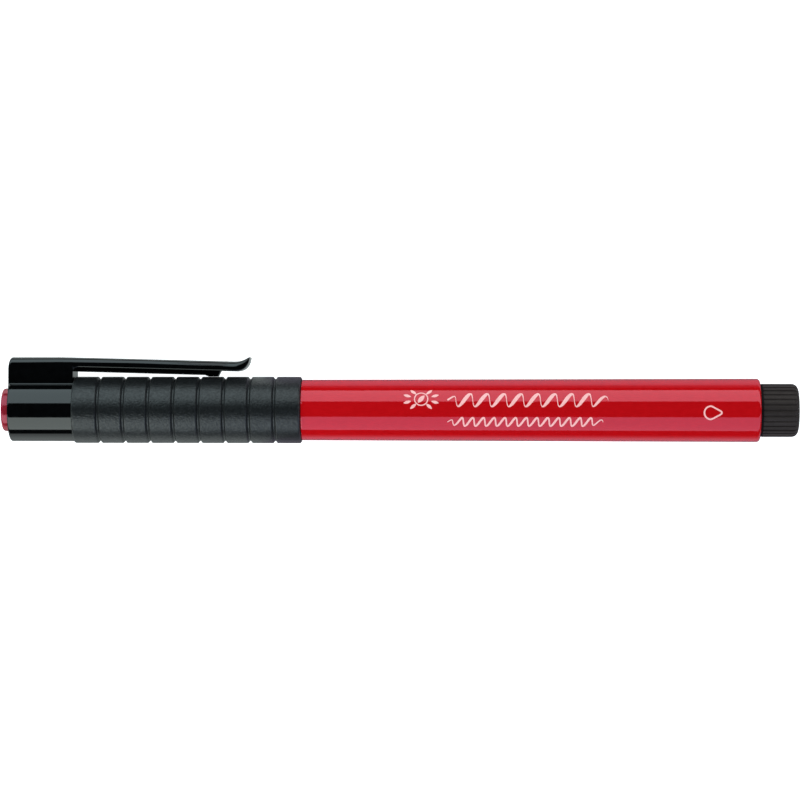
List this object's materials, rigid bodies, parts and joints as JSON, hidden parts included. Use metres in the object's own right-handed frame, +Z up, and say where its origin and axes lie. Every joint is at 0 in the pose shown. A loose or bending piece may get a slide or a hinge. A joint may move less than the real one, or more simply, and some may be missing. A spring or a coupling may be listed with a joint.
{
  "type": "brush pen",
  "caption": "Round-barrelled fibre-tip brush pen with a push-on cap, ring-grooved cap sleeve, springy pocket clip and ribbed rear plug, lying on its side.",
  "frame": {"origin": "on the table under the middle of the bounding box, with the pen lying on its side", "axes": "+X along the pen from the cap end to the rear plug, +Y across the pen to the side the clip stands on, +Z up"},
  "size_m": [0.139, 0.015, 0.0116],
  "materials": {
    "red_gloss": "smooth gloss",
    "nose_black": "satin",
    "nib_fibre": "inked fibre",
    "ink_fibre": "inked fibre",
    "clear_film": "thin film",
    "plug_black": "fine-textured matte",
    "liner_plastic": "satin, slightly translucent",
    "crown_black": "smooth gloss",
    "sleeve_soft": "fine-textured matte"
  },
  "bodies": {
    "barrel": {"barrel": "red_gloss", "front_section": "nose_black", "nib_shank": "nib_fibre", "reservoir_core": "ink_fibre", "reservoir_film": "clear_film", "rear_plug": "plug_black"},
    "brush": {"brush_tip": "nib_fibre"},
    "inner_cap": {"inner_cap": "liner_plastic"},
    "cap": {"cap_shell": "crown_black", "cap_sleeve": "sleeve_soft", "cap_end_plug": "red_gloss"},
    "clip": {"clip_arm": "crown_black"}
  },
  "joints": [
    {"name": "cap_pull", "type": "slide", "parent": "barrel", "child": "inner_cap", "axis": [-1, 0, 0], "range_m": [0, 0.045]},
    {"name": "cap_turn", "type": "hinge", "parent": "inner_cap", "child": "cap", "pos_m": [-0.04, -0.00168, 0.0058], "axis": [1, 0, 0], "continuous": true},
    {"name": "clip_flex", "type": "hinge", "parent": "cap", "child": "clip", "pos_m": [-0.05636, 0.00642, 0.0058], "axis": [0, 0, 1], "range_deg": [0, 6], "stiffness_Nm_per_rad": 1.5},
    {"name": "brush_bend", "type": "hinge", "parent": "barrel", "child": "brush", "pos_m": [-0.04298, -0.00168, 0.0058], "axis": [0, 0, 1], "range_deg": [-12, 12], "stiffness_Nm_per_rad": 0.012}
  ]
}
